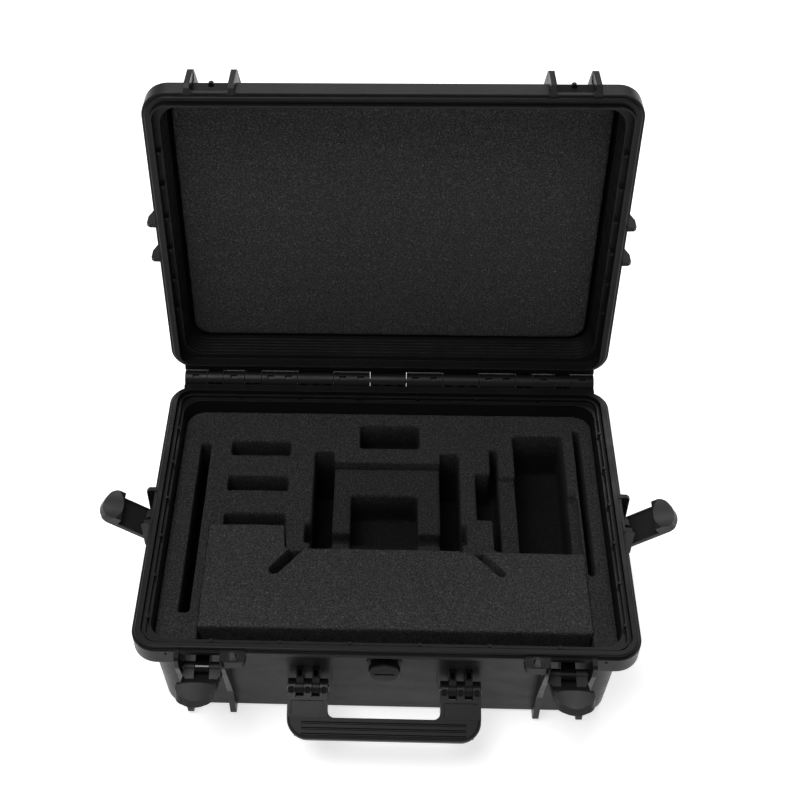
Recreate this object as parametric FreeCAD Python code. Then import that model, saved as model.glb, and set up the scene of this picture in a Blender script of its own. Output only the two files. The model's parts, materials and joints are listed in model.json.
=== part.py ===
import FreeCAD, Part
import math
import os

# A hard plastic carrying case for a quadcopter, standing on its feet with the lid open.
# Frame: origin on the floor under the middle of the base, X to the right, Y to the
# hinge at the back, Z up. Millimetres.

V = FreeCAD.Vector

# ---- driving dimensions --------------------------------------------------------------
RIM_W, RIM_D, RIM_R = 536.0, 382.0, 28.0        # outside of the rim flange
BODY_W, BODY_D = 508.0, 352.0                   # outside of the walls at the rim
CAVITY_W, CAVITY_D, CAVITY_R = 500.0, 344.0, 22.0
DRAFT = 7.0                                     # each wall leans in this much
FOOT_H = 3.0
FLOOR_T = 5.0
BASE_H = 150.0                                  # floor to the base's rim plane
LID_GAP = 0.6                                   # base rim to lid rim when closed
LID_H = 56.0
LID_CAVITY_H = 51.0
LID_OPEN = 95.0                                 # degrees, the lid's stop

LIP_INSET, LIP_H = 3.0, 4.0                     # rounded lip on top of the flange
BAND_H = 5.0                                    # thin part of the base flange
SKIRT_H = 17.0                                  # thick part of the base flange below it
LID_BAND_H = 24.0
GROOVE_OUT, GROOVE_IN = 9.5, 12.5               # insets of the seal groove
WALL_IN = 14.5                                  # inset of the groove's inner wall
LEDGE_DROP = 9.0                                # rim plane down to the ledge
INNER_WALL_H = 5.0
TONGUE_OUT, TONGUE_IN, TONGUE_DROP = 10.0, 12.0, 6.0

HINGE_GAP, HINGE_DROP = 12.5, 2.4               # hinge axis behind and below the rim edge
KNUCKLE_R, PIN_R, RUN_GAP = 11.3, 2.5, 0.05
KNUCKLE_SLOT_W, KNUCKLE_SLOT_H, KNUCKLE_SLOT_DEEP = 8.0, 4.4, 4.0
STRIP_OUT = 0.8                                 # hinge strips stand past the rim's face
KNUCKLE_ENDS = [252.8, 225.0, 205.0, 178.0, 157.0, 112.5, 67.5, 22.5]
SIDE_GAP = 0.3

LATCH_X, LATCH_Y = 193.0, 2.0                   # latch centres on the front and the sides
LATCH_DROP, LATCH_IN = 37.6, 3.0                # pivot below the rim plane, inside the rim's face
LATCH_OPEN = 53.0                               # degrees, the lever's stop
LATCH_PIN_R = 2.0
LEVER_W, LEVER_TIP = 40.0, 66.0                 # width, and pivot to the tip's corners
LEVER_OUT, ARM_T = 11.0, 3.0                    # arm's outer face from the pivot, its thickness
HOOK_H, HOOK_REACH = 47.8, 2.2                  # pivot to the hook's face, nose past the pivot plane
HOOK_GAP = 0.6                                  # clearance round the closed hook
BARREL_R, SADDLE_R, SADDLE_HALF = 6.0, 6.5, 7.5
SEAT_HALF = LEVER_W / 2 + 0.5
GUARD_OUT = 10.0                                # guards stand this far past the rim
GUARD_ROOT, GUARD_TIP = 7.0, 4.5                # guard thickness at the wall and at its edge

HANDLE_HALF, HANDLE_ARM = 103.0, 43.0
HANDLE_REACH, GRIP_FILLET = 54.5, 8.0
HANDLE_OUT, HANDLE_DROP = 16.0, 68.0            # axis out from the wall, below the rim plane
HANDLE_TILT = 25.0                              # degrees below horizontal at rest
HANDLE_PIN_R, HANDLE_KNUCKLE_R = 3.0, 10.0

EAR_X, EAR_Y = 158.0, -RIM_D / 2 - 5.0          # padlock holes
EYELET_R, EYELET_BORE = 5.8, 4.8

VALVE_Z = 108.0
FOAM_TOP = BASE_H - 28.0
FOAM_FLOOR_T = 20.0
SLAB_TOP = BASE_H - 22.0
CENTRE_TOP = BASE_H - 39.0
FOAM_GAP = 0.5

# ---- derived places ------------------------------------------------------------------
HINGE_Y = RIM_D / 2 + HINGE_GAP
HINGE_Z = BASE_H - HINGE_DROP
LID_Z = BASE_H + LID_GAP
LEDGE_Z = BASE_H - LEDGE_DROP
SKIRT_Z = BASE_H - LIP_H - BAND_H - SKIRT_H
LATCH_Z = BASE_H - LATCH_DROP
CATCH_Z = HOOK_H - HOOK_GAP                     # top of the lid's catch, above the latch pivot
HANDLE_Y = -(BODY_D / 2 + HANDLE_OUT)
HANDLE_Z = BASE_H - HANDLE_DROP
FLOOR_Z = FOOT_H + FLOOR_T
EPS = 0.01


# ---- helpers -------------------------------------------------------------------------
def rounded_wire(width, depth, radius, z, centre=(0.0, 0.0)):
    """A closed rectangle with round corners, level at height z."""
    cx, cy = centre
    hw, hd = width / 2, depth / 2
    corners = [(hw, hd, 0), (-hw, hd, 90), (-hw, -hd, 180), (hw, -hd, 270)]
    edges = []
    ends = []
    for px, py, start in corners:
        mx = cx + px - math.copysign(radius, px)
        my = cy + py - math.copysign(radius, py)
        points = [V(mx + radius * math.cos(math.radians(start + a)),
                    my + radius * math.sin(math.radians(start + a)), z) for a in (0, 45, 90)]
        ends.append(points)
    for i, points in enumerate(ends):
        edges.append(Part.Arc(*points).toShape())
        edges.append(Part.makeLine(points[2], ends[(i + 1) % 4][0]))
    return Part.Wire(edges)


def rounded_box(width, depth, radius, z0, z1, centre=(0.0, 0.0)):
    face = Part.Face(rounded_wire(width, depth, radius, z0, centre))
    return face.extrude(V(0, 0, z1 - z0))


def tapered_box(size0, size1, z0, z1):
    """A loft between two (width, depth, radius) rectangles."""
    return Part.makeLoft([rounded_wire(*size0, z0), rounded_wire(*size1, z1)], True, True)


def box(x0, x1, y0, y1, z0, z1):
    return Part.makeBox(x1 - x0, y1 - y0, z1 - z0, V(x0, y0, z0))


def rod(radius, x0, x1, y, z):
    """A cylinder along X."""
    return Part.makeCylinder(radius, x1 - x0, V(x0, y, z), V(1, 0, 0))


def post(radius, x, y, z0, z1):
    """A cylinder along Z."""
    return Part.makeCylinder(radius, z1 - z0, V(x, y, z0))


def plate_x(points, x0, x1):
    """A plate across X from a polygon of (y, z) points."""
    wire = Part.makePolygon([V(x0, y, z) for y, z in points + points[:1]])
    return Part.Face(wire).extrude(V(x1 - x0, 0, 0))


def plate_z(points, z0, z1):
    """A level plate from a polygon of (x, y) points."""
    wire = Part.makePolygon([V(x, y, z0) for x, y in points + points[:1]])
    return Part.Face(wire).extrude(V(0, 0, z1 - z0))


def capsule(x0, y0, x1, y1, width, z0, z1):
    """An upright slot shape with round ends, from one centre to the other."""
    length = math.hypot(x1 - x0, y1 - y0)
    nx, ny = -(y1 - y0) / length * width / 2, (x1 - x0) / length * width / 2
    plate = plate_z([(x0 + nx, y0 + ny), (x0 - nx, y0 - ny), (x1 - nx, y1 - ny), (x1 + nx, y1 + ny)],
                    z0, z1)
    return plate.fuse([post(width / 2, x0, y0, z0, z1), post(width / 2, x1, y1, z0, z1)])


def ring(size_out, size_in, z0, z1):
    """A level ring from two (width, depth, radius) rectangles."""
    return rounded_box(*size_out, z0, z1).cut(rounded_box(*size_in, z0 - 1, z1 + 1))


def rim_size(inset):
    """The rim rectangle, drawn in by an inset."""
    return RIM_W - 2 * inset, RIM_D - 2 * inset, RIM_R - inset


def round_edges(shape, radius, test):
    edges = [e for e in shape.Edges if test(e)]
    return shape.makeFillet(radius, edges)


def at_height(z, tolerance=0.01):
    """Edges that lie level at one height."""
    return lambda e: abs(e.BoundBox.ZMin - z) < tolerance and abs(e.BoundBox.ZMax - z) < tolerance


def moved(shape, matrix):
    result = shape.copy()
    result.Placement = matrix.multiply(result.Placement)
    return result


def spun(shape, centre, axis, angle):
    result = shape.copy()
    result.rotate(V(*centre), V(*axis), angle)
    return result


def joined(shapes):
    """One clean solid from pieces that overlap or touch."""
    first, rest = shapes[0], shapes[1:]
    result = (first.fuse(rest) if rest else first).removeSplitter()
    return result.Solids[0] if len(result.Solids) == 1 else result


# ---- base shell ----------------------------------------------------------------------
def wall_half(z, half_top):
    """Half width of a leaning wall at height z, from its half width at the ledge."""
    return half_top - DRAFT * (LEDGE_Z - z) / (LEDGE_Z - FLOOR_Z)


def base_tub():
    body = tapered_box((BODY_W - 2 * DRAFT, BODY_D - 2 * DRAFT, 24.0), (BODY_W, BODY_D, 26.0),
                       FOOT_H, LEDGE_Z)
    body = round_edges(body, 5.0, at_height(FOOT_H))
    skirt = rounded_box(RIM_W, RIM_D, RIM_R, SKIRT_Z, LEDGE_Z)
    skirt = round_edges(skirt, 2.0, at_height(SKIRT_Z))
    front_relief = box(-146, 146, -RIM_D / 2 - 1, -BODY_D / 2, SKIRT_Z - 1, LEDGE_Z + EPS)
    band = rounded_box(RIM_W, RIM_D, RIM_R, LEDGE_Z - EPS, BASE_H - LIP_H)
    lip = rounded_box(*rim_size(LIP_INSET), BASE_H - LIP_H - EPS, BASE_H)
    lip = round_edges(lip, 1.8, at_height(BASE_H))
    return joined([body, skirt.cut(front_relief), band, lip])


def base_hollow():
    """Everything that is empty inside the rim and the walls."""
    cavity = tapered_box((CAVITY_W - 2 * DRAFT, CAVITY_D - 2 * DRAFT, 18.0),
                         (CAVITY_W, CAVITY_D, CAVITY_R), FLOOR_Z, LEDGE_Z + EPS)
    cavity = round_edges(cavity, 6.0, at_height(FLOOR_Z))
    over_ledge = rounded_box(*rim_size(GROOVE_OUT), LEDGE_Z, BASE_H + 1)
    return cavity.fuse(over_ledge)


def groove_wall():
    """The thin wall on the ledge that closes the seal groove, with its small bosses."""
    wall = ring(rim_size(GROOVE_IN), rim_size(WALL_IN), LEDGE_Z - 1, LEDGE_Z + INNER_WALL_H)
    bosses = []
    side_x = RIM_W / 2 - WALL_IN
    end_y = RIM_D / 2 - WALL_IN
    for y in (-148, -94, -40, 14, 68, 122):
        for side in (-1, 1):
            bosses.append(post(2.0, side * side_x, y, LEDGE_Z - 1, LEDGE_Z + INNER_WALL_H + 1))
    for x in (-182.5, -109.5, -36.5, 36.5, 109.5, 182.5):
        for side in (-1, 1):
            bosses.append(post(2.0, x, side * end_y, LEDGE_Z - 1, LEDGE_Z + INNER_WALL_H + 1))
    return [wall] + bosses


def latch_places():
    """Each latch's name, pivot and turn about Z from the front-facing pose."""
    front_y = -(RIM_D / 2 - LATCH_IN)
    side_x = RIM_W / 2 - LATCH_IN
    return [("front_left", V(-LATCH_X, front_y, LATCH_Z), 0.0),
            ("front_right", V(LATCH_X, front_y, LATCH_Z), 0.0),
            ("left_side", V(-side_x, LATCH_Y, LATCH_Z), -90.0),
            ("right_side", V(side_x, LATCH_Y, LATCH_Z), 90.0)]


def placed_latch(shape, pivot, turn):
    """Moves a piece drawn at the latch pivot, facing the front, to one latch place."""
    return moved(shape, FreeCAD.Placement(pivot, FreeCAD.Rotation(V(0, 0, 1), turn)))


def guard_plate(side, profile, root, tip, out):
    """A plate beside a latch, thinner towards its outer edge, from a profile of (y, z) points.

    It is drawn in the latch's own frame: the pivot is the origin and outward is -Y.
    """
    middle = side * (SEAT_HALF + out)
    plate = plate_x(profile, middle - root / 2, middle + root / 2)
    root_y, edge_y = 26.0, -(GUARD_OUT + LATCH_IN)
    low = min(z for y, z in profile) - 1
    high = max(z for y, z in profile) + 1
    draft = plate_z([(middle - root / 2, root_y), (middle - root / 2, 12.0),
                     (middle - tip / 2, edge_y), (middle + tip / 2, edge_y),
                     (middle + root / 2, 12.0), (middle + root / 2, root_y)], low, high)
    return plate.common(draft).cut(rod(LATCH_PIN_R, -40, 40, 0, 0))


def side_guard_profile():
    edge, top = -(GUARD_OUT + LATCH_IN), LATCH_DROP - 3.0
    return [(13.0, top), (edge + 3, top), (edge, top - 3), (edge, -5.0), (edge + 5, -12.0),
            (16.5, -30.0)]


def front_guard_profile():
    """The guards on the front run down to the floor as ribs."""
    edge, top = -(GUARD_OUT + LATCH_IN), LATCH_DROP - 3.0
    floor = FOOT_H - LATCH_Z
    return [(13.0, top), (edge + 3, top), (edge, top - 3), (edge, 17.5), (7.0, -60.0), (7.5, floor + 3.5),
            (9.0, floor + 1.0), (11.5, floor), (26.0, floor), (21.0, floor + 6), (16.5, -30.0)]


def latch_seat_cut():
    """The recess through the thick part of the flange, behind the lever's arm."""
    return box(-SEAT_HALF, SEAT_HALF, -30, 9.0, -14.0, LATCH_DROP - LEDGE_DROP)


def saddle_boss():
    """A flat on the wall for the pin's saddle."""
    return box(-SADDLE_HALF, SADDLE_HALF, 11.5, 15.5, -9.0, 9.0)


def base_latch_seats():
    """Guards to add and recesses to cut, for all four latches."""
    adds, cuts = [], []
    for name, pivot, turn in latch_places():
        profile = front_guard_profile() if turn == 0.0 else side_guard_profile()
        adds += [placed_latch(guard_plate(side, profile, GUARD_ROOT, GUARD_TIP, GUARD_ROOT / 2),
                              pivot, turn) for side in (-1, 1)]
        adds.append(placed_latch(saddle_boss(), pivot, turn))
        cuts.append(placed_latch(latch_seat_cut(), pivot, turn))
    return adds, cuts


def padlock_ear(side, z0, z1):
    """A flat ear beside a front latch."""
    return rounded_box(25.0, 24.0, 5.0, z0, z1, (side * EAR_X, -RIM_D / 2))


def padlock_bores(z0, z1):
    return [post(EYELET_R, side * EAR_X, EAR_Y, z0, z1) for side in (-1, 1)]


def handle_spans():
    """X spans of the five knuckles on the right arm, handle ones first and last."""
    step = HANDLE_ARM / 5
    start = HANDLE_HALF - HANDLE_ARM
    return [(start + i * step, start + (i + 1) * step) for i in range(5)]


def base_handle_lugs():
    lugs = []
    for i, (x0, x1) in enumerate(handle_spans()):
        if i % 2 == 0:
            continue
        for side in (-1, 1):
            a, b = sorted((side * (x0 + SIDE_GAP), side * (x1 - SIDE_GAP)))
            back = -BODY_D / 2 + DRAFT
            web = plate_x([(back, HANDLE_Z - 8), (HANDLE_Y, HANDLE_Z - 8), (HANDLE_Y, HANDLE_Z + 8),
                           (HANDLE_Y + 3, HANDLE_Z + 14), (HANDLE_Y + 7, HANDLE_Z + 18),
                           (HANDLE_Y + 11, HANDLE_Z + 19), (back, HANDLE_Z + 19)], a, b)
            round_end = rod(HANDLE_KNUCKLE_R - 1.0, a, b, HANDLE_Y, HANDLE_Z)
            pocket = box(a + 1.6, b - 1.6, HANDLE_Y + 4.5, HANDLE_Y + 12, HANDLE_Z + 7, HANDLE_Z + 21)
            bore = rod(HANDLE_PIN_R + RUN_GAP, a - 1, b + 1, HANDLE_Y, HANDLE_Z)
            lugs.append(web.fuse(round_end).cut([pocket, bore]))
    return lugs


def handle_backplates():
    """Raised pads on the front wall behind each end of the handle."""
    pads = []
    middle = HANDLE_HALF - HANDLE_ARM / 2
    for side in (-1, 1):
        x = side * middle
        pads.append(box(x - 24, x + 24, -BODY_D / 2 - 1.0, -BODY_D / 2 + DRAFT, HANDLE_Z - 22, LEDGE_Z))
    return pads


def knuckle_spans():
    """The fifteen hinge knuckles from left to right."""
    ends = [-x for x in KNUCKLE_ENDS] + KNUCKLE_ENDS[::-1]
    return list(zip(ends[:-1], ends[1:]))


def knuckle(x0, x1, slots, lift):
    """A knuckle with a row of moulding slots across it, lift degrees above the front."""
    a, b = x0 + SIDE_GAP, x1 - SIDE_GAP
    barrel = rod(KNUCKLE_R, a, b, HINGE_Y, HINGE_Z)
    for i in range(slots):
        x = a + (i + 0.5) * (b - a) / slots
        slot = box(x - KNUCKLE_SLOT_W / 2, x + KNUCKLE_SLOT_W / 2, HINGE_Y - KNUCKLE_R - 1,
                   HINGE_Y - KNUCKLE_R + KNUCKLE_SLOT_DEEP, HINGE_Z - KNUCKLE_SLOT_H / 2, HINGE_Z + KNUCKLE_SLOT_H / 2)
        barrel = barrel.cut(spun(slot, (0, HINGE_Y, HINGE_Z), (-1, 0, 0), lift))
    return barrel


def hinge_strip(z0, z1):
    """Fills the rim's rounded lip along the hinge, so that no gap shows past the knuckles."""
    end = KNUCKLE_ENDS[0]
    return box(-end, end, RIM_D / 2 - LIP_INSET - 2.0, RIM_D / 2 + STRIP_OUT, z0, z1)


def base_knuckles():
    parts = [hinge_strip(BASE_H - LIP_H - 1.0, BASE_H)]
    for i, (x0, x1) in enumerate(knuckle_spans()):
        if i % 2:
            continue
        slots = 2 if x1 - x0 > 30 else 1
        parts.append(knuckle(x0, x1, slots, 62.0))
        parts.append(plate_x([(RIM_D / 2 - 2, HINGE_Z - 3), (HINGE_Y, HINGE_Z - 3),
                              (HINGE_Y + 6, HINGE_Z - 9), (RIM_D / 2 - 2, HINGE_Z - 22)],
                             x0 + SIDE_GAP, x1 - SIDE_GAP))
    return parts


def valve_boss():
    return Part.makeCylinder(19.0, 12.0, V(0, -BODY_D / 2 - 1.0, VALVE_Z), V(0, 1, 0))


def wall_rib(wall, turn, x):
    """A stiffening rib under the flange of a wall, turned about Z from the back wall."""
    rib = plate_x([(wall - DRAFT - 2, 24), (wall - 1, 24), (wall + 6, SKIRT_Z + 1),
                   (wall - DRAFT - 2, SKIRT_Z + 1)], x - 3, x + 3)
    return spun(rib, (0, 0, 0), (0, 0, 1), turn)


def base_wall_ribs():
    ribs = [wall_rib(BODY_D / 2, 0, x) for x in (-190, -114, -38, 38, 114, 190)]
    ribs += [wall_rib(BODY_W / 2, turn, y) for turn in (90, -90) for y in (-118, -72, 72, 118)]
    return ribs


def bottom_bars():
    """Raised bars under the floor that the case stands on, with the feet."""
    return [rounded_box(16.0, 250.0, 7.0, 0, FOOT_H + 2, (x, 0)) for x in (-150, -75, 0, 75, 150)]


def rivet_holes():
    """Two small blind holes in the flange's front face, near the corners."""
    return [Part.makeCylinder(1.6, 4.0, V(side * 229.0, -RIM_D / 2 - 1, BASE_H - 8.0), V(0, 1, 0))
            for side in (-1, 1)]


def base_shell():
    guards, seats = base_latch_seats()
    shell = base_tub()
    extras = base_handle_lugs() + handle_backplates() + base_knuckles() + [valve_boss()]
    extras += base_wall_ribs() + bottom_bars()
    extras += [padlock_ear(side, BASE_H - 14.0, BASE_H - 3.0) for side in (-1, 1)]
    shell = shell.fuse(extras)
    for seat in seats:
        shell = shell.cut(seat)
    shell = shell.fuse(guards)
    shell = shell.cut(base_hollow())
    shell = shell.fuse(groove_wall())
    holes = [rod(PIN_R + RUN_GAP, -260, 260, HINGE_Y, HINGE_Z)]
    holes.append(Part.makeCylinder(9.5, 30.0, V(0, -BODY_D / 2 - 8, VALVE_Z), V(0, 1, 0)))
    holes += rivet_holes() + padlock_bores(BASE_H - 15.0, BASE_H + 1)
    for hole in holes:
        shell = shell.cut(hole)
    return shell.removeSplitter().Solids[0]


# ---- lid shell, drawn closed and then opened ------------------------------------------
def opened(shape):
    return spun(shape, (0, HINGE_Y, HINGE_Z), (-1, 0, 0), LID_OPEN)


def lid_tray():
    top = LID_Z + LID_H
    body = tapered_box((BODY_W, BODY_D, 26.0), (BODY_W - DRAFT, BODY_D - DRAFT, 24.0), LID_Z, top)
    body = round_edges(body, 10.0, at_height(top))
    band = rounded_box(RIM_W, RIM_D, RIM_R, LID_Z + LIP_H, LID_Z + LIP_H + LID_BAND_H)
    band = round_edges(band, 2.0, at_height(LID_Z + LIP_H + LID_BAND_H))
    lip = rounded_box(*rim_size(LIP_INSET), LID_Z, LID_Z + LIP_H + EPS)
    lip = round_edges(lip, 1.8, at_height(LID_Z))
    return joined([body, band, lip])


def lid_hollow():
    cavity = tapered_box((CAVITY_W, CAVITY_D, CAVITY_R), (CAVITY_W - 10, CAVITY_D - 10, 18.0),
                         LID_Z + 8 - EPS, LID_Z + LID_CAVITY_H)
    cavity = round_edges(cavity, 5.0, at_height(LID_Z + LID_CAVITY_H))
    over_ledge = rounded_box(*rim_size(GROOVE_OUT), LID_Z - 1, LID_Z + 8)
    return cavity.fuse(over_ledge)


def lid_tongue():
    """The ring that enters the seal groove, and the small bosses beside it."""
    parts = [ring(rim_size(TONGUE_OUT), rim_size(TONGUE_IN), LID_Z - TONGUE_DROP, LID_Z + 9)]
    side_x = RIM_W / 2 - TONGUE_IN
    end_y = RIM_D / 2 - TONGUE_IN
    for y in (-118, -75, -32, 11, 54, 97):
        for side in (-1, 1):
            parts.append(post(2.0, side * (side_x - 2), y, LID_Z + 1, LID_Z + 9))
            parts.append(box(*sorted((side * (side_x - 2.5), side * side_x)), y - 1, y + 1,
                             LID_Z + 1, LID_Z + 9))
    for x in (-160, -128, -18.5, 15.5, 125, 158):
        parts.append(post(2.0, x, -end_y + 2, LID_Z + 1, LID_Z + 9))
        parts.append(box(x - 1, x + 1, -end_y, -end_y + 2.5, LID_Z + 1, LID_Z + 9))
    return parts


def inner_rings():
    """Shallow grooves round the inside of the lid's wall."""
    grooves = []
    for depth in (13.0, 18.0, 23.0, 28.0, 33.0):
        inset = 2 * 5.0 * (depth - 8.0) / (LID_CAVITY_H - 8.0)
        size = (CAVITY_W - inset + 1.4, CAVITY_D - inset + 1.4, CAVITY_R)
        inner = (CAVITY_W - inset - 4.0, CAVITY_D - inset - 4.0, CAVITY_R - 2.0)
        grooves.append(ring(size, inner, LID_Z + depth, LID_Z + depth + 1.6))
    return grooves


def lid_guard_profile(front):
    """Guards on the lid: long on the front, and sloping to nothing on the sides."""
    edge, foot = -(GUARD_OUT + LATCH_IN), LATCH_DROP + LID_GAP + 3.0
    if front:
        return [(15.0, foot), (edge + 4, foot), (edge, foot + 4), (edge + 1, foot + 36),
                (edge + 3.5, foot + 41), (8.0, foot + 47), (15.0, foot + 47)]
    return [(15.0, foot), (edge + 3, foot), (edge, foot + 3), (edge, foot + 16), (-2.0, foot + 46),
            (9.0, foot + 50), (15.0, foot + 50)]


def lid_catch_cuts():
    """The pocket that the closed hook fills, and the lever's path between the guards.

    The edge of the lid below the pocket is what the hook holds.
    """
    nose = HOOK_REACH + 1.0
    pocket = plate_x([(-30, CATCH_Z), (nose, CATCH_Z), (nose, CATCH_Z + 8.8), (-2.4, LEVER_TIP),
                      (-2.4, LEVER_TIP + 6), (-30, LEVER_TIP + 6)], -SEAT_HALF, SEAT_HALF)
    path = box(-SEAT_HALF, SEAT_HALF, -30, -LATCH_IN - 2.0, 30.0, LEVER_TIP + 10.0)
    return pocket, path


def lid_knuckles():
    """Drawn closed, so that the slots come to the front when the lid is open."""
    parts = [hinge_strip(LID_Z, LID_Z + LIP_H + 1.0)]
    for i, (x0, x1) in enumerate(knuckle_spans()):
        if i % 2 == 0:
            continue
        slots = 3 if x1 - x0 > 30 else 2
        parts.append(knuckle(x0, x1, slots, 10.0 - LID_OPEN))
        parts.append(plate_x([(RIM_D / 2 - 2, LID_Z + 5), (RIM_D / 2 - 2, LID_Z + 24),
                              (HINGE_Y + 6, HINGE_Z + 9), (HINGE_Y + 2, HINGE_Z + 3)],
                             x0 + SIDE_GAP, x1 - SIDE_GAP))
    return parts


def lid_ribs():
    """Raised bars on the outside of the lid that key with the bars under another base."""
    top = LID_Z + LID_H
    bars = []
    for x in (-187.5, -112.5, -37.5, 37.5, 112.5, 187.5):
        bars.append(rounded_box(16.0, 250.0, 7.0, top - 3, top + 3.0, (x, 0)))
    return bars


def lid_shell():
    shell = lid_tray()
    adds, pockets, nubs = [], [], []
    for name, pivot, turn in latch_places():
        front = turn == 0.0
        root, tip, out = (12.0, 6.0, 3.0) if front else (GUARD_ROOT, GUARD_TIP, GUARD_ROOT / 2)
        profile = lid_guard_profile(front)
        adds += [placed_latch(guard_plate(side, profile, root, tip, out), pivot, turn)
                 for side in (-1, 1)]
        pockets += [placed_latch(cut, pivot, turn) for cut in lid_catch_cuts()]
        if front:
            nubs.append(placed_latch(post(3.0, 0, -LATCH_IN + 1.0, 61.0, LATCH_DROP + 28.0), pivot, turn))
    shell = shell.fuse(adds + lid_knuckles() + lid_ribs())
    shell = shell.cut(pockets).fuse(nubs)
    shell = shell.cut(lid_hollow())
    for groove in inner_rings():
        shell = shell.cut(groove)
    shell = shell.fuse(lid_tongue())
    shell = shell.cut(rod(PIN_R + RUN_GAP, -260, 260, HINGE_Y, HINGE_Z))
    return shell.removeSplitter().Solids[0]


# ---- latches --------------------------------------------------------------------------
def lever_outline():
    """The finger tab seen from outside: a rectangle with a bowed end and round corners."""
    half, low, tip = LEVER_W / 2, 30.0, LEVER_TIP
    corner, bow = 8.5, 2.5
    ends = [V(-half, 0, tip - corner), V(-half + corner, 0, tip), V(half - corner, 0, tip),
            V(half, 0, tip - corner)]
    pull = corner * (1 - math.sqrt(0.5))
    edges = [Part.makeLine(V(-half, 0, low), ends[0]),
             Part.Arc(ends[0], V(-half + pull, 0, tip - pull), ends[1]).toShape(),
             Part.Arc(ends[1], V(0, 0, tip + bow), ends[2]).toShape(),
             Part.Arc(ends[2], V(half - pull, 0, tip - pull), ends[3]).toShape(),
             Part.makeLine(ends[3], V(half, 0, low)), Part.makeLine(V(half, 0, low), V(-half, 0, low))]
    return Part.Face(Part.Wire(edges))


def lever_tab():
    """The thick end: crowned outside, dished inside, with the hook's nose as its lower edge."""
    half, crown, dish = LEVER_W / 2, 5.5, 4.0
    out_y, inner_y = -LEVER_OUT, -LEVER_OUT + ARM_T
    swell = out_y - crown
    side = plate_x([(swell, 54.0), (out_y, 44.0), (inner_y, 44.0), (inner_y, HOOK_H), (HOOK_REACH, HOOK_H),
                    (HOOK_REACH, 72.0), (swell, 72.0)], -half, half)
    outline = lever_outline().extrude(V(0, 40, 0))
    outline.translate(V(0, -30, 0))
    crown_r = (half ** 2 + crown ** 2) / (2 * crown)
    barrel = post(crown_r, 0, swell + crown_r, 20, 90)
    tab = side.common(outline).common(barrel)
    dish_r = (half ** 2 + dish ** 2) / (2 * dish)
    run_y, run_z = -10.0, LEVER_TIP - HOOK_H
    length = math.hypot(run_y, run_z)
    along = V(0, run_y / length, run_z / length)
    inward = V(0, along.z, -along.y)
    start = V(0, HOOK_REACH, HOOK_H) + inward * dish_r - along * 30
    return tab.cut(Part.makeCylinder(dish_r, 100, start, along))


def latch_lever():
    """Closed lever in its own frame: pivot at the origin, outward is -Y."""
    half = LEVER_W / 2
    out_y, inner_y = -LEVER_OUT, -LEVER_OUT + ARM_T
    parts = [box(-half, half, out_y, inner_y, -BARREL_R, HOOK_H), lever_tab()]
    for side in (-1, 1):
        a, b = sorted((side * half, side * (half - 2.0)))
        parts.append(box(a, b, inner_y, inner_y + 1.8, 6.0, HOOK_H))
        a, b = sorted((side * half, side * (SADDLE_HALF + 0.5)))
        parts.append(rod(BARREL_R, a, b, 0, 0))
        parts.append(plate_x([(out_y, -BARREL_R), (0, -BARREL_R), (0, BARREL_R), (inner_y, 13.0),
                              (out_y, 13.0)], a, b))
    lever = joined(parts)
    return lever.cut(rod(LATCH_PIN_R + RUN_GAP, -40, 40, 0, 0)).removeSplitter().Solids[0]


def latch_pin():
    half = SEAT_HALF + GUARD_ROOT - 0.3
    return rod(LATCH_PIN_R, -half, half, 0, 0)


def latch_saddle():
    """A glossy clip on the wall that holds the middle of the pin."""
    web = plate_x([(11.5, -8.5), (11.5, 8.5), (0, SADDLE_R), (0, -SADDLE_R)], -SADDLE_HALF, SADDLE_HALF)
    saddle = joined([web, rod(SADDLE_R, -SADDLE_HALF, SADDLE_HALF, 0, 0)])
    return saddle.cut(rod(LATCH_PIN_R, -40, 40, 0, 0))


def open_lever(shape):
    return spun(shape, (0, 0, 0), (1, 0, 0), LATCH_OPEN)


# ---- front handle, drawn level and pointing outward (-Y) from its axis ----------------
def handle_frame():
    inner = HANDLE_HALF - HANDLE_ARM
    core_in, core_out = 35.5, 50.5
    parts = []
    for side in (-1, 1):
        a, b = sorted((side * inner, side * HANDLE_HALF))
        arm = box(a, b, -31.5, 0, -8.0, 8.0)
        barrel = rod(HANDLE_KNUCKLE_R, a, b, 0, 0)
        panel = box(a + 4, b - 4, -28.5, -14.0, 6.5, 9.0)
        panel_back = box(a + 4, b - 4, -28.5, -14.0, -9.0, -6.5)
        parts.append(arm.fuse(barrel).cut(panel).cut(panel_back))
        parts.append(box(a + 8, b - 8, -core_out, -30.5, -4.0, 4.0))
    parts.append(box(-HANDLE_HALF + 8, HANDLE_HALF - 8, -core_out, -core_in, -4.0, 4.0))
    frame = joined(parts)
    for i, (x0, x1) in enumerate(handle_spans()):
        if i % 2 == 0:
            continue
        for side in (-1, 1):
            a, b = sorted((side * x0, side * x1))
            frame = frame.cut(box(a, b, -HANDLE_KNUCKLE_R - 1.0, 12, -12, 12))
    for side in (-1, 1):
        for x0, x1 in handle_spans()[::2]:
            middle = side * (x0 + x1) / 2
            pocket = box(middle - 2.0, middle + 2.0, -3.5, 3.5, 7.0, 12.0)
            frame = frame.cut(spun(pocket, (0, 0, 0), (1, 0, 0), 20.0))
    return frame.cut(rod(HANDLE_PIN_R + RUN_GAP, -120, 120, 0, 0)).removeSplitter().Solids[0]


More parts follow.
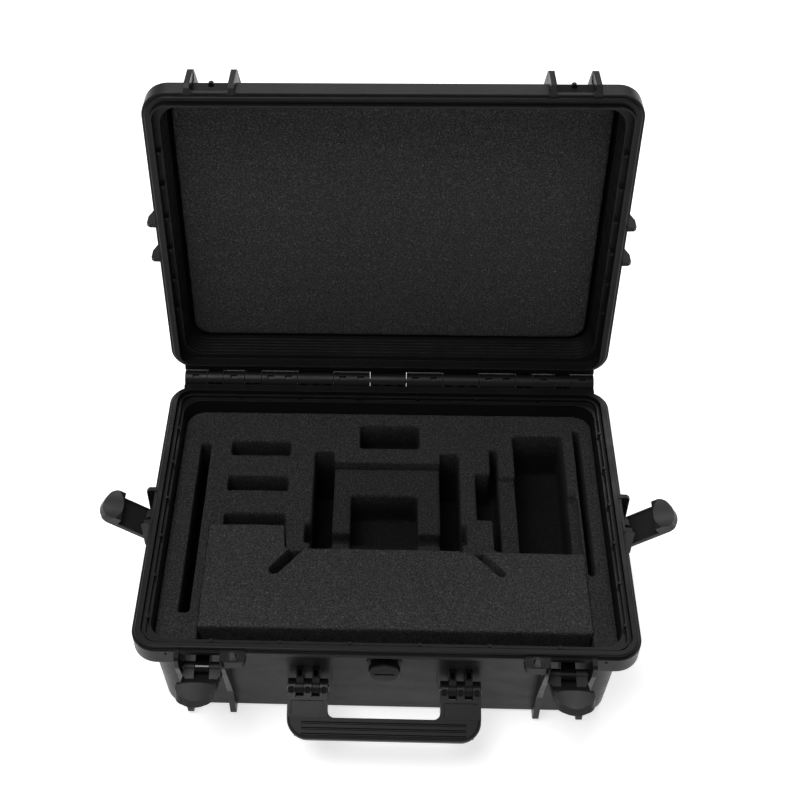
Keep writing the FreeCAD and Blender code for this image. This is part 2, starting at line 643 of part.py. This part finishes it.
def handle_grip():
    """Soft grip over the bar, with long grooves and round outer corners."""
    depth = HANDLE_REACH - 31.5
    outline = rounded_wire(2 * HANDLE_HALF, 2 * depth, 22.0, -10.0, (0.0, -31.5))
    block = Part.Face(outline).extrude(V(0, 0, 20.0))
    block = block.cut(box(-150, 150, -31.5, 60, -20, 20))
    block = round_edges(block, 4.0, lambda e: abs(abs(e.BoundBox.ZMin) - 10) < 0.01
                        and abs(e.BoundBox.ZMin - e.BoundBox.ZMax) < 0.01 and e.BoundBox.YMax < -31.0
                        and e.BoundBox.YMin < -33.5)
    inner = HANDLE_HALF - HANDLE_ARM
    for side in (-1, 1):
        a, b = sorted((side * inner, side * (inner - GRIP_FILLET)))
        corner = box(a, b, -32.0, -31.5 + GRIP_FILLET, -8.0, 8.0)
        corner = corner.cut(post(GRIP_FILLET, side * (inner - GRIP_FILLET), -31.5 + GRIP_FILLET, -9, 9))
        block = block.fuse(corner)
    for y in (-37.0, -43.0, -49.0):
        for z in (-10.0, 10.0):
            block = block.cut(rod(1.3, -HANDLE_HALF + 16, HANDLE_HALF - 16, y, z))
    for side in (-1, 1):
        a, b = sorted((side * (inner + 8), side * (HANDLE_HALF - 8)))
        block = block.cut(box(a, b, -50.5, -30.5, -4.0, 4.0))
    return block.cut(box(-HANDLE_HALF + 8, HANDLE_HALF - 8, -50.5, -35.5, -4.0, 4.0))


def placed_handle(shape):
    tilted = spun(shape, (0, 0, 0), (1, 0, 0), HANDLE_TILT)
    tilted.translate(V(0, HANDLE_Y, HANDLE_Z))
    return tilted


def handle_pin(side):
    a, b = sorted((side * (HANDLE_HALF - HANDLE_ARM - 1.0), side * (HANDLE_HALF + 1.0)))
    return rod(HANDLE_PIN_R, a, b, HANDLE_Y, HANDLE_Z)


# ---- pressure valve --------------------------------------------------------------------
def ycyl(radius, y0, y1):
    return Part.makeCylinder(radius, y1 - y0, V(0, y0, VALVE_Z), V(0, 1, 0))


VALVE_FACE = -BODY_D / 2 - 1.0


def valve_body():
    flange = ycyl(15.0, VALVE_FACE - 5.0, VALVE_FACE - 1.2)
    stem = ycyl(9.4, VALVE_FACE - 5.0, VALVE_FACE + 12.2)
    spindle = ycyl(4.0, VALVE_FACE - 9.0, VALVE_FACE - 4.0)
    vent = ycyl(6.5, VALVE_FACE + 3.0, VALVE_FACE + 15.0)
    return joined([flange, stem, spindle]).cut(vent)


def valve_seal():
    return ycyl(13.5, VALVE_FACE - 1.2, VALVE_FACE).cut(ycyl(9.5, VALVE_FACE - 2, VALVE_FACE + 1))


def valve_membrane():
    return ycyl(6.5, VALVE_FACE + 3.0, VALVE_FACE + 3.6)


def valve_nut():
    points = [V(14.0 * math.cos(math.radians(a)), VALVE_FACE + 7.4,
                VALVE_Z + 14.0 * math.sin(math.radians(a))) for a in range(0, 361, 60)]
    block = Part.Face(Part.makePolygon(points)).extrude(V(0, 4.3, 0))
    return block.cut(ycyl(9.4, VALVE_FACE, VALVE_FACE + 20))


def valve_knob():
    knob = ycyl(17.0, VALVE_FACE - 13.0, VALVE_FACE - 5.3)
    knob = knob.makeChamfer(1.5, [e for e in knob.Edges if abs(e.BoundBox.YMin - VALVE_FACE + 13) < 0.01
                                  and abs(e.BoundBox.YMax - e.BoundBox.YMin) < 0.01])
    for i in range(24):
        angle = math.radians(15 * i)
        notch = Part.makeCylinder(1.3, 12.0, V(17.6 * math.cos(angle), VALVE_FACE - 15,
                                               VALVE_Z + 17.6 * math.sin(angle)), V(0, 1, 0))
        knob = knob.cut(notch)
    slot = box(-11, 11, VALVE_FACE - 14, VALVE_FACE - 11.5, VALVE_Z - 1.6, VALVE_Z + 1.6)
    bore = ycyl(4.0 + RUN_GAP, VALVE_FACE - 9.05, VALVE_FACE)
    return knob.cut(slot).cut(bore)


# ---- foam ------------------------------------------------------------------------------
def foam_layer(z0, z1):
    """A layer of foam that fills the tub, a little clear of the walls."""
    sizes = []
    for z in (z0, z1):
        corner = 18.0 + (CAVITY_R - 18.0) * (z - FLOOR_Z) / (LEDGE_Z - FLOOR_Z)
        sizes.append((2 * (wall_half(z, CAVITY_W / 2) - FOAM_GAP),
                      2 * (wall_half(z, CAVITY_D / 2) - FOAM_GAP), corner))
    return tapered_box(sizes[0], sizes[1], z0, z1)


def slab_outline(grow):
    """The front slab seen from above, grown outward by a clearance."""
    g = grow
    return [(-202 - g, -147), (222 + g, -147), (222 + g, -43 + g), (84, -43 + g), (84, -41 + g),
            (-114 + g, -41 + g), (-117 + g, -9 + g), (-202 - g, -9 + g)]


def foam_base_floor():
    sheet = foam_layer(FLOOR_Z + 0.3, FLOOR_Z + FOAM_FLOOR_T)
    return round_edges(sheet, 7.0, at_height(FLOOR_Z + 0.3))


def foam_main():
    z0 = FLOOR_Z + FOAM_FLOOR_T + 0.2
    top = FOAM_TOP + 1
    layer = foam_layer(z0, FOAM_TOP)
    well = plate_z(slab_outline(FOAM_GAP), 62.0, top)
    front_gap = box(-202.5, 222.5, -200, -146.9, 62.0, top)
    cuts = [well, front_gap,
            box(-226.5, -214.0, -125, 120, 55, top),          # left long slot
            box(225.0, 233.5, -67, 147, 55, top),             # right long slot
            box(-33, 39, 115, 152, 78, top),                  # accessory pocket
            box(-86.5, -63.0, -42, 109, z0 - 1, top),         # left landing gear slot
            box(63.0, 86.5, -42, 108, z0 - 1, top),           # right landing gear slot
            box(-94.0, -86.0, -28, 1, 85, top),               # side notches
            box(86.0, 92.5, -28, 1, 85, top),
            box(-63.5, 63.5, -42, 92, z0 - 1, top),           # well for the centre block
            box(122.5, 132.5, -36, 116, 60, top),             # tablet bracket slot
            box(104.5, 123.0, 8, 78, 60, top),                # bracket knob pocket
            box(152.0, 212.0, -42, 138, 48, top),             # controller pocket
            box(132.0, 152.5, -43, 72, 112, top),             # shallow step beside it
            box(211.5, 222.0, -43, 45, 112, top)]
    for y in (101.5, 46.5, -9.0):                             # battery slots
        cuts.append(box(-188.5, -116.5, y, y + 22.5, 50, top))
    for cut in cuts:
        layer = layer.cut(cut)
    return max(layer.Solids, key=lambda s: s.Volume)


def foam_centre_block():
    z0 = FLOOR_Z + FOAM_FLOOR_T + 0.2
    block = box(-62.8, 62.8, -40.2, 91.5, z0, CENTRE_TOP)
    top = CENTRE_TOP + 1
    cuts = [box(-42, 36.5, -3, 51, 60, top), box(-42, 36.5, -29, -2.5, 84, top),
            box(-70, -41, -21, -5, 92, top), box(36, 70, -21, -5, 92, top)]
    for cut in cuts:
        block = block.cut(cut)
    return block


def foam_front_slab():
    slab = plate_z(slab_outline(0.0), 62.3, SLAB_TOP)
    slab = slab.cut(capsule(-92, -30, -124, -70, 13.0, SLAB_TOP - 30, SLAB_TOP + 1))
    slab = slab.cut(capsule(88, -28, 129, -71, 9.0, SLAB_TOP - 30, SLAB_TOP + 1))
    return slab


def foam_lid_pad():
    return tapered_box((484.0, 330.0, 20.0), (482.0, 328.0, 18.0),
                       LID_Z + 38.0, LID_Z + LID_CAVITY_H - 0.3)


# ---- small pieces ------------------------------------------------------------------------
def seal_ring():
    """Rubber seal that lies in the bottom of the base's groove."""
    return ring(rim_size(GROOVE_OUT + 0.2), rim_size(GROOVE_IN - 0.2), LEDGE_Z, LEDGE_Z + 3.0)


def feet():
    return Part.makeCompound([post(12.0, x, y, 0, FOOT_H) for x in (-205, 205) for y in (-130, 130)])


def eyelets(z0, z1):
    """Sleeves in the two padlock holes, with a thin collar on top."""
    rings = []
    for side in (-1, 1):
        x = side * EAR_X
        sleeve = post(EYELET_R - 0.1, x, EAR_Y, z0, z1).fuse(post(EYELET_R + 0.9, x, EAR_Y, z1, z1 + 0.6))
        rings.append(sleeve.cut(post(EYELET_BORE, x, EAR_Y, z0 - 1, z1 + 2)).removeSplitter())
    return Part.makeCompound(rings)


# ---- all nodes -----------------------------------------------------------------------------
def build():
    nodes = {
        "base_shell": base_shell(),
        "lid_shell": opened(lid_shell()),
        "hinge_rod": rod(PIN_R, -KNUCKLE_ENDS[0] + 0.5, KNUCKLE_ENDS[0] - 0.5, HINGE_Y, HINGE_Z),
        "seal_ring": seal_ring(),
        "foam_base_floor": foam_base_floor(),
        "foam_main": foam_main(),
        "foam_centre_block": foam_centre_block(),
        "foam_front_slab": foam_front_slab(),
        "foam_lid_pad": opened(foam_lid_pad()),
        "handle_frame": placed_handle(handle_frame()),
        "handle_grip": placed_handle(handle_grip()),
        "handle_pin_left": handle_pin(-1),
        "handle_pin_right": handle_pin(1),
        "valve_body": valve_body(),
        "valve_seal": valve_seal(),
        "valve_membrane": valve_membrane(),
        "valve_nut": valve_nut(),
        "valve_knob": valve_knob(),
        "feet": feet(),
        "base_padlock_eyelets": eyelets(BASE_H - 14.0, BASE_H - 3.0),
    }
    for name, pivot, turn in latch_places():
        nodes["latch_lever_" + name] = placed_latch(open_lever(latch_lever()), pivot, turn)
        nodes["latch_pin_" + name] = placed_latch(latch_pin(), pivot, turn)
        nodes["latch_saddle_" + name] = placed_latch(latch_saddle(), pivot, turn)
    return nodes


os.makedirs("parts", exist_ok=True)
for node, shape in build().items():
    shape.exportStep("parts/" + node + ".step")
    solids = shape.Solids
    print(node, len(solids), "solids", round(sum(s.Volume for s in solids) / 1000, 1), "cm3",
          "valid" if shape.isValid() else "NOT VALID")
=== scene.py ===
import json
import math

import bmesh
import bpy
from mathutils import Matrix, Vector, noise


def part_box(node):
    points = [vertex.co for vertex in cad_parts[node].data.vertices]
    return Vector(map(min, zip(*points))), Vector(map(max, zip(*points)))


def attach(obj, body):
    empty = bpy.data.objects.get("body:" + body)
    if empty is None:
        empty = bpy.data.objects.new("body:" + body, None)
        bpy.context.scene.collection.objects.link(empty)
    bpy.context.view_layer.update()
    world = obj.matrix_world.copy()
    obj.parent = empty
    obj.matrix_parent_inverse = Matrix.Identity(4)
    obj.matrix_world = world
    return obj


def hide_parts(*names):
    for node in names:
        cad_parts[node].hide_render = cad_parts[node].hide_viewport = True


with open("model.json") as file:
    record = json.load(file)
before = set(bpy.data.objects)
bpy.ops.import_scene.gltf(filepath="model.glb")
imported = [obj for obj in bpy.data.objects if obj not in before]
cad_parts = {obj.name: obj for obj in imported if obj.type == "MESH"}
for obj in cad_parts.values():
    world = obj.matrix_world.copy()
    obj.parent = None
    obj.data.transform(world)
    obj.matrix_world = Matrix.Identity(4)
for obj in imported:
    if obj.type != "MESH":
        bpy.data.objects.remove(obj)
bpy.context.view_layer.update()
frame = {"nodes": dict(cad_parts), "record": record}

# A hard carrying case for a quadcopter with its lid open. Metres, the CAD frame: origin on
# the floor under the middle of the base, Y to the hinge, Z up.

NODES = frame["nodes"]


# ---- materials ---------------------------------------------------------------------------
# The colour sockets of a Mix node. They share their names with its number sockets.
MIX_FIRST, MIX_SECOND, MIX_RESULT = 6, 7, 2
# How far a noise is squeezed along X, Y and Z.
SCUFF_GRAIN = (1.0, 1.0, 3.0)                   # scuffs are longer sideways than upwards
PIN_GRAIN = (1.0, 22.0, 22.0)                   # marks are long along X


def brighter(colour, factor):
    return tuple(factor * c for c in colour)


class Shader:
    """A material with one Principled shader, and short calls for the nodes behind it."""

    def __init__(self, name, colour, roughness, metallic=0.0, specular=0.5):
        self.material = bpy.data.materials.new(name)
        self.material.use_nodes = True
        self.tree = self.material.node_tree
        self.main = self.tree.nodes["Principled BSDF"]
        self.main.inputs["Base Color"].default_value = (*colour, 1.0)
        self.main.inputs["Roughness"].default_value = roughness
        self.main.inputs["Metallic"].default_value = metallic
        self.main.inputs["Specular IOR Level"].default_value = specular
        self.place = self.add("ShaderNodeTexCoord").outputs["Object"]

    def add(self, kind, **settings):
        node = self.tree.nodes.new(kind)
        for key, value in settings.items():
            setattr(node, key, value)
        return node

    def link(self, output, socket):
        self.tree.links.new(output, socket)

    def noise(self, scale, detail=2.0, rough=0.5, stretch=None):
        node = self.add("ShaderNodeTexNoise")
        node.inputs["Scale"].default_value = scale
        node.inputs["Detail"].default_value = detail
        node.inputs["Roughness"].default_value = rough
        self.link(self.stretched(stretch), node.inputs["Vector"])
        return node.outputs["Fac"]

    def cells(self, scale):
        """The distance to the nearest of many scattered points."""
        node = self.add("ShaderNodeTexVoronoi")
        node.inputs["Scale"].default_value = scale
        self.link(self.place, node.inputs["Vector"])
        return node.outputs["Distance"]

    def stretched(self, stretch):
        if stretch is None:
            return self.place
        mapping = self.add("ShaderNodeMapping")
        mapping.inputs["Scale"].default_value = stretch
        self.link(self.place, mapping.inputs["Vector"])
        return mapping.outputs["Vector"]

    def spread(self, value, low, high, to_low, to_high):
        """Maps a value from one range to another, held at the ends."""
        node = self.add("ShaderNodeMapRange")
        for name, number in (("From Min", low), ("From Max", high), ("To Min", to_low),
                             ("To Max", to_high)):
            node.inputs[name].default_value = number
        self.link(value, node.inputs["Value"])
        return node.outputs["Result"]

    def mixed(self, factor, first, second):
        """A colour mix. first and second are outputs or RGB colours."""
        node = self.add("ShaderNodeMix", data_type="RGBA")
        self.link(factor, node.inputs["Factor"])
        for place, value in ((MIX_FIRST, first), (MIX_SECOND, second)):
            if isinstance(value, tuple):
                node.inputs[place].default_value = (*value, 1.0)
            else:
                self.link(value, node.inputs[place])
        return node.outputs[MIX_RESULT]

    def maths(self, operation, first, second):
        """first is an output, and second is an output or a number."""
        node = self.add("ShaderNodeMath", operation=operation)
        self.link(first, node.inputs[0])
        if isinstance(second, float):
            node.inputs[1].default_value = second
        else:
            self.link(second, node.inputs[1])
        return node.outputs[0]

    def added(self, first, second):
        return self.maths("ADD", first, second)

    def times(self, first, second):
        return self.maths("MULTIPLY", first, second)

    def rounded(self, radius):
        """Normals softened along the edges, by a moulding radius."""
        node = self.add("ShaderNodeBevel", samples=4)
        node.inputs["Radius"].default_value = radius
        return node.outputs["Normal"]

    def edges(self, radius, low, high):
        """1 along convex and concave edges and 0 on open faces."""
        dot = self.add("ShaderNodeVectorMath", operation="DOT_PRODUCT")
        self.link(self.rounded(radius), dot.inputs[0])
        self.link(self.add("ShaderNodeNewGeometry").outputs["True Normal"], dot.inputs[1])
        return self.spread(dot.outputs["Value"], high, low, 0.0, 1.0)

    def bump(self, height, depth, normal=None):
        node = self.add("ShaderNodeBump")
        node.inputs["Strength"].default_value = 1.0
        node.inputs["Distance"].default_value = depth
        self.link(height, node.inputs["Height"])
        if normal is not None:
            self.link(normal, node.inputs["Normal"])
        return node.outputs["Normal"]

    def set(self, **sockets):
        names = {"colour": "Base Color", "rough": "Roughness", "normal": "Normal"}
        for key, output in sockets.items():
            self.link(output, self.main.inputs[names[key]])
        return self.material


def moulded_plastic(name, dark, light, roughness, grain, depth, specular):
    """Textured moulded plastic: a fine spark-eroded grain, faint flow marks and rubbed edges.

    light is the colour of the rubbed edges, and depth is the grain's height in metres.
    """
    m = Shader(name, dark, roughness, specular=specular)
    flow = m.noise(7.0, 4.0, 0.6)
    grain_height = m.noise(grain, 3.0, 0.62)
    rubbed = m.times(m.edges(0.0011, 0.80, 0.995),
                     m.spread(m.noise(60.0, 4.0, 0.7), 0.42, 0.66, 0.15, 1.0))
    body = m.mixed(m.spread(flow, 0.35, 0.65, 0.0, 1.0), dark, brighter(dark, 1.22))
    colour = m.mixed(m.times(rubbed, 0.55), body, light)
    scuffs = m.spread(m.noise(22.0, 6.0, 0.75, SCUFF_GRAIN), 0.35, 0.7, roughness - 0.07,
                      roughness + 0.12)
    normal = m.bump(grain_height, depth, m.rounded(0.0006))
    return m.set(colour=colour, rough=scuffs, normal=normal)


SHADE_START_DEPTH, SHADE_END_DEPTH = 0.004, 0.04                  # painted shade: between these depths under the foam's top, its colour darkens towards a near-black
# a near-black colour that paints shade into the wells
PAINTED_SHADE_COLOUR = (0.001, 0.001, 0.001)


def cut_foam(name, dark, light, glint_strength, cell, depth, top=None):
    """Closed-cell foam: open cut cells as pits, with bright rims between them and a few painted
    glints.

    light is the colour of the rims, glint_strength the strength of the painted glints, cell the
    number of cells in a metre and depth the pits' depth in metres. Below top, the height of the
    foam's top face, the cut walls and floors get painted shade: their colour is darkened
    towards a near-black.
    """
    m = Shader(name, dark, 0.92, specular=0.15)
    rims = m.spread(m.cells(cell), 0.25, 0.75, 0.0, 1.0)
    fine = m.spread(m.noise(cell * 1.1, 3.0, 0.8), 0.44, 0.60, 0.0, 1.0)
    patches = m.spread(m.noise(13.0, 5.0, 0.6), 0.35, 0.65, 0.0, 1.0)
    body = m.mixed(patches, dark, brighter(dark, 1.3))
    grain = m.mixed(m.added(m.times(rims, 0.45), m.times(fine, 0.55)), body, light)
    # painted glints: a few specks of highlight painted into the colour, four times as bright as
    # the rims
    painted_glints = m.spread(m.noise(cell * 0.9, 2.0, 0.6), 0.60, 0.68, 0.0, 1.0)
    colour = m.mixed(m.times(painted_glints, glint_strength), grain, brighter(light, 4.0))
    # painted shade: the colour of the wells' cut walls and floors darkens below the foam's top
    # face
    if top is not None:
        split = m.add("ShaderNodeSeparateXYZ")
        m.link(m.place, split.inputs["Vector"])
        painted_shade_mix = m.spread(split.outputs["Z"], top - SHADE_END_DEPTH, top - SHADE_START_DEPTH, 0.22, 1.0)
        colour = m.mixed(painted_shade_mix, PAINTED_SHADE_COLOUR, colour)
    return m.set(colour=colour, normal=m.bump(m.added(rims, fine), depth))


def rubber(name, dark, roughness):
    m = Shader(name, dark, roughness, specular=0.22)
    dust = m.spread(m.noise(40.0, 5.0, 0.7), 0.4, 0.7, 0.0, 0.5)
    colour = m.mixed(dust, dark, brighter(dark, 1.9))
    return m.set(colour=colour, normal=m.bump(m.noise(1400.0, 2.0), 0.00006, m.rounded(0.0004)))


def steel(name):
    bright, stained = (0.2, 0.2, 0.205), (0.1, 0.098, 0.096)
    m = Shader(name, bright, 0.34, metallic=1.0)
    turned = m.noise(90.0, 3.0, 0.6, PIN_GRAIN)
    stains = m.spread(m.noise(120.0, 4.0, 0.6), 0.4, 0.75, 0.0, 1.0)
    colour = m.mixed(stains, bright, stained)
    return m.set(colour=colour, rough=m.spread(turned, 0.3, 0.7, 0.24, 0.46),
                 normal=m.bump(turned, 0.00002, m.rounded(0.0003)))


SHELL = moulded_plastic("shell_plastic", (0.0055, 0.0055, 0.0062), (0.045, 0.045, 0.048),
                        0.37, 900.0, 0.00010, 0.17)
HANDLE = moulded_plastic("handle_plastic", (0.006, 0.006, 0.0066), (0.045, 0.045, 0.048),
                         0.34, 1100.0, 0.00007, 0.24)
LATCH = moulded_plastic("latch_plastic", (0.0115, 0.0115, 0.0125), (0.06, 0.06, 0.063),
                        0.46, 900.0, 0.00010, 0.36)
PAD = moulded_plastic("pad_plastic", (0.006, 0.006, 0.0068), (0.03, 0.03, 0.032),
                      0.14, 600.0, 0.00002, 0.6)
GRIP = rubber("grip_rubber", (0.0058, 0.0058, 0.0068), 0.42)
SEAL = rubber("rubber_seal", (0.006, 0.006, 0.0065), 0.5)
FOAM_COARSE = cut_foam("foam_coarse", (0.0165, 0.0165, 0.017), (0.1, 0.1, 0.101),
                       0.26, 560.0, 0.0008)
FOAM_LID = cut_foam("foam_lid", (0.0115, 0.0115, 0.012), (0.078, 0.078, 0.079),
                    0.3, 600.0, 0.0007)
FOAM_FINE = cut_foam("foam_fine", (0.0105, 0.0105, 0.0109), (0.068, 0.068, 0.069),
                     0.2, 600.0, 0.0006, top=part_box("foam_main")[1].z)
MEMBRANE = rubber("membrane", (0.5, 0.5, 0.5), 0.8)
STEEL = steel("steel")


# ---- mesh helpers ------------------------------------------------------------------------
def piece(name, mesh, body, material):
    """A new piece that rides on a body."""
    obj = bpy.data.objects.new(name, mesh)
    bpy.context.scene.collection.objects.link(obj)
    mesh.materials.clear()
    mesh.materials.append(material)
    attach(obj, body)
    return obj


def applied(obj):
    """The object's mesh with its modifiers applied."""
    graph = bpy.context.evaluated_depsgraph_get()
    mesh = bpy.data.meshes.new_from_object(obj.evaluated_get(graph))
    bpy.data.objects.remove(obj)
    return mesh


def remeshed(node, voxel):
    """A CAD node's shape with soft edges, on an even grid of faces."""
    obj = bpy.data.objects.new("work", NODES[node].data.copy())
    bpy.context.scene.collection.objects.link(obj)
    weld = obj.modifiers.new("weld", "WELD")
    weld.merge_threshold = 0.00001
    remesh = obj.modifiers.new("remesh", "REMESH")
    remesh.mode = "VOXEL"
    remesh.voxel_size = voxel
    smooth = obj.modifiers.new("smooth", "SMOOTH")
    smooth.factor = 0.5
    smooth.iterations = 2
    return applied(obj)


def pressed_marks(mesh, low, high):
    """Four faint round marks in the face of the lid's pad."""
    radius, depth, facing_front = 0.012, 0.0016, -0.7
    for across in (0.26, 0.74):
        for up in (0.2, 0.82):
            x = low.x + (high.x - low.x) * across
            z = low.z + (high.z - low.z) * up
            for v in mesh.vertices:
                far = math.hypot(v.co.x - x, v.co.z - z)
                if v.normal.y < facing_front and far < radius:
                    v.co.y += depth * math.sin(math.pi * far / radius) ** 2


def roughened(mesh, terms):
    """Moves each point along its normal by a sum of (depth, cell size) noises."""
    normals = [v.normal.copy() for v in mesh.vertices]
    for v, normal in zip(mesh.vertices, normals):
        lift = sum(depth * noise.noise(v.co / size) for depth, size in terms)
        v.co += normal * lift
    mesh.update()


# ---- foam --------------------------------------------------------------------------------
def foam(node, body, material, voxel, terms, marked=False):
    """A foam piece with uneven cut faces, in place of a CAD node."""
    mesh = remeshed(node, voxel)
    roughened(mesh, terms)
    if marked:
        low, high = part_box(node)
        pressed_marks(mesh, Vector(low), Vector(high))
    mesh.polygons.foreach_set("use_smooth", [True] * len(mesh.polygons))
    obj = piece("cut_" + node, mesh, body, material)
    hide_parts(node)


# The (depth, cell size) of the unevenness in the foam's faces.
FINE_WAVES = [(0.0005, 0.045), (0.00022, 0.009), (0.00012, 0.0035)]
COARSE_WAVES = [(0.0006, 0.05), (0.0003, 0.01), (0.00022, 0.0032)]
foam("foam_front_slab", "base", FOAM_COARSE, 0.0018, COARSE_WAVES)
foam("foam_main", "base", FOAM_FINE, 0.0021, FINE_WAVES)
foam("foam_centre_block", "base", FOAM_FINE, 0.0021, FINE_WAVES)
foam("foam_base_floor", "base", FOAM_FINE, 0.004, FINE_WAVES)
foam("foam_lid_pad", "lid", FOAM_LID, 0.0024, FINE_WAVES, marked=True)


# ---- finishes on the CAD pieces ------------------------------------------------------------
BY_SLOT = {"shell_plastic": SHELL, "handle_plastic": HANDLE, "latch_plastic": LATCH,
           "pad_plastic": PAD, "grip_rubber": GRIP, "rubber_seal": SEAL, "foam": FOAM_FINE,
           "membrane": MEMBRANE, "steel": STEEL}
SLOT_OF = {part["node"]: part["material_slot"] for part in frame["record"]["subparts"]}
for node, obj in NODES.items():
    for place in obj.material_slots:
        place.material = BY_SLOT[SLOT_OF[node]]


# ---- stage ---------------------------------------------------------------------------------
FLOOR_HALF = 12.0


def stage():
    """A wide pale floor. It glows a little, so that it shows nearly white."""
    mesh = bpy.data.meshes.new("floor")
    floor = bmesh.new()
    bmesh.ops.create_grid(floor, x_segments=1, y_segments=1, size=FLOOR_HALF)
    floor.to_mesh(mesh)
    floor.free()
    obj = bpy.data.objects.new("floor", mesh)
    bpy.context.scene.collection.objects.link(obj)
    pale = bpy.data.materials.new("pale_floor")
    pale.use_nodes = True
    shader = pale.node_tree.nodes["Principled BSDF"]
    shader.inputs["Base Color"].default_value = (0.86, 0.86, 0.86, 1.0)
    shader.inputs["Roughness"].default_value = 0.9
    shader.inputs["Emission Color"].default_value = (1.0, 1.0, 1.0, 1.0)
    shader.inputs["Emission Strength"].default_value = 0.66
    mesh.materials.append(pale)


def area_light(name, place, target, size, power):
    """A rectangular light that faces target. size is its two sides, and power is in watts."""
    data = bpy.data.lights.new(name, "AREA")
    data.shape = "RECTANGLE"
    data.size, data.size_y = size
    data.energy = power
    lamp = bpy.data.objects.new(name, data)
    lamp.location = place
    lamp.rotation_euler = (Vector(target) - Vector(place)).to_track_quat("-Z", "Y").to_euler()
    bpy.context.scene.collection.objects.link(lamp)


def lights():
    middle = (0.0, 0.0, 0.2)
    area_light("key", (-0.7, -0.5, 2.8), middle, (1.6, 1.6), 46.0)
    area_light("back", (0.3, 1.9, 2.1), (0.0, 0.1, 0.3), (2.4, 0.7), 34.0)
    area_light("front", (0.6, -2.8, 0.8), middle, (2.2, 0.9), 2.5)
    world = bpy.data.worlds.new("studio")
    world.use_nodes = True
    world.node_tree.nodes["Background"].inputs["Color"].default_value = (1.0, 1.0, 1.0, 1.0)
    world.node_tree.nodes["Background"].inputs["Strength"].default_value = 0.25
    bpy.context.scene.world = world


CAMERA_PLACE = (0.0012, -0.9295, 1.3277)
CAMERA_TURN = (46.19, -3.01, -1.44)             # degrees down, to the side, and rolled
LENS, SHIFT = 59.12, (0.0733, -0.0229)


def camera():
    """The view from in front and above, turned and rolled a little."""
    pitch, yaw, roll = (math.radians(angle) for angle in CAMERA_TURN)
    forward = Vector((math.sin(yaw) * math.cos(pitch), math.cos(yaw) * math.cos(pitch),
                      -math.sin(pitch)))
    right = Vector((math.cos(yaw), -math.sin(yaw), 0.0))
    up = right.cross(forward)
    side = right * math.cos(roll) + up * math.sin(roll)
    top = up * math.cos(roll) - right * math.sin(roll)
    turn = Matrix((side, top, -forward)).transposed()
    data = bpy.data.cameras.new("camera")
    data.sensor_width = 36.0
    data.lens = LENS
    data.shift_x, data.shift_y = SHIFT
    cam = bpy.data.objects.new("camera", data)
    cam.matrix_world = Matrix.Translation(CAMERA_PLACE) @ turn.to_4x4()
    bpy.context.scene.collection.objects.link(cam)
    bpy.context.scene.camera = cam


stage()
lights()
camera()
bpy.context.scene.view_settings.view_transform = "Standard"
